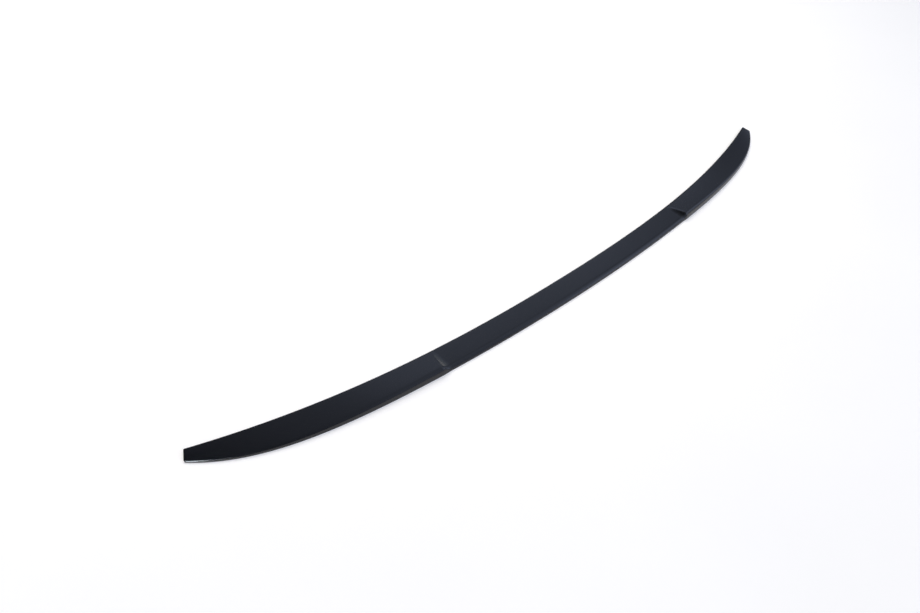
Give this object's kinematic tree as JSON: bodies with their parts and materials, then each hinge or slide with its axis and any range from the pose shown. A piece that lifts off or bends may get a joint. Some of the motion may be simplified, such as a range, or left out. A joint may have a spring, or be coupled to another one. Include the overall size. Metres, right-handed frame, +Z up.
{
  "type": "car rear spoiler",
  "caption": "Slim bowed lip spoiler for a boot lid: a low middle stretch, ramps up to raised wings, rounded rear edge, tapered blunt tips and a flat underside for bonding.",
  "frame": {"origin": "middle of the flat underside, on the plane that mirrors left to right", "axes": "+X across the car, -Y to the car's tail where the raised rear edge is, +Z up, away from the boot lid"},
  "size_m": [1.1488, 0.1142, 0.0111],
  "materials": {
    "satin_black": "satin black paint over moulded plastic"
  },
  "bodies": {
    "root": {"spoiler_blade": "satin_black"}
  },
  "joints": []
}
